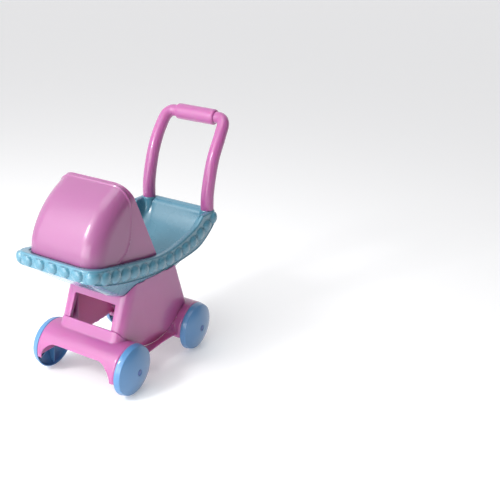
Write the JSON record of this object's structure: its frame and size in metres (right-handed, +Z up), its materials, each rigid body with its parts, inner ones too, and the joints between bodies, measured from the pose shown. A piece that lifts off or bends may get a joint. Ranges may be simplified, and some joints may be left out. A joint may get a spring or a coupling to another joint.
{
  "type": "doll stroller",
  "caption": "Four-wheeled toy doll stroller: beaded tray with a hood, hollow moulded chassis with a front window, and an upright push handle.",
  "frame": {"origin": "middle of the bounding box on the floor", "axes": "+Z up, -Y to the front (the hooded end), +X to the right as seen by someone standing in front of it, which is the right in the node names"},
  "size_m": [0.2436, 0.4962, 0.5108],
  "materials": {
    "pink_plastic": "glossy moulded plastic",
    "blue_plastic": "glossy moulded plastic",
    "cap_plastic": "glossy moulded plastic",
    "steel": "plain zinc-plated steel"
  },
  "bodies": {
    "root": {"hood": "pink_plastic", "upper_body": "pink_plastic", "lower_base": "pink_plastic", "handle_arm_left": "pink_plastic", "handle_arm_right": "pink_plastic", "handle_grip": "pink_plastic", "tray": "blue_plastic", "front_axle": "steel", "rear_axle": "steel", "axle_washer_front_left": "steel", "axle_washer_front_right": "steel", "axle_washer_rear_left": "steel", "axle_washer_rear_right": "steel", "push_nut_front_left": "steel", "push_nut_front_right": "steel", "push_nut_rear_left": "steel", "push_nut_rear_right": "steel", "base_screw_front_left": "steel", "base_screw_front_right": "steel", "base_screw_rear_left": "steel", "base_screw_rear_right": "steel", "tray_screw_front_left": "steel", "tray_screw_front_right": "steel", "tray_screw_rear_left": "steel", "tray_screw_rear_right": "steel", "handle_screw_left": "steel", "handle_screw_right": "steel"},
    "wheel_front_left_body": {"wheel_front_left": "blue_plastic", "hub_cap_front_left": "cap_plastic"},
    "wheel_front_right_body": {"wheel_front_right": "blue_plastic", "hub_cap_front_right": "cap_plastic"},
    "wheel_rear_left_body": {"wheel_rear_left": "blue_plastic", "hub_cap_rear_left": "cap_plastic"},
    "wheel_rear_right_body": {"wheel_rear_right": "blue_plastic", "hub_cap_rear_right": "cap_plastic"}
  },
  "joints": [
    {"name": "wheel_front_left_spin", "type": "hinge", "parent": "root", "child": "wheel_front_left_body", "pos_m": [-0.108, -0.1371, 0.0535], "axis": [1, 0, 0], "continuous": true},
    {"name": "wheel_front_right_spin", "type": "hinge", "parent": "root", "child": "wheel_front_right_body", "pos_m": [0.108, -0.1371, 0.0535], "axis": [1, 0, 0], "continuous": true},
    {"name": "wheel_rear_left_spin", "type": "hinge", "parent": "root", "child": "wheel_rear_left_body", "pos_m": [-0.108, 0.0929, 0.0535], "axis": [1, 0, 0], "continuous": true},
    {"name": "wheel_rear_right_spin", "type": "hinge", "parent": "root", "child": "wheel_rear_right_body", "pos_m": [0.108, 0.0929, 0.0535], "axis": [1, 0, 0], "continuous": true}
  ]
}
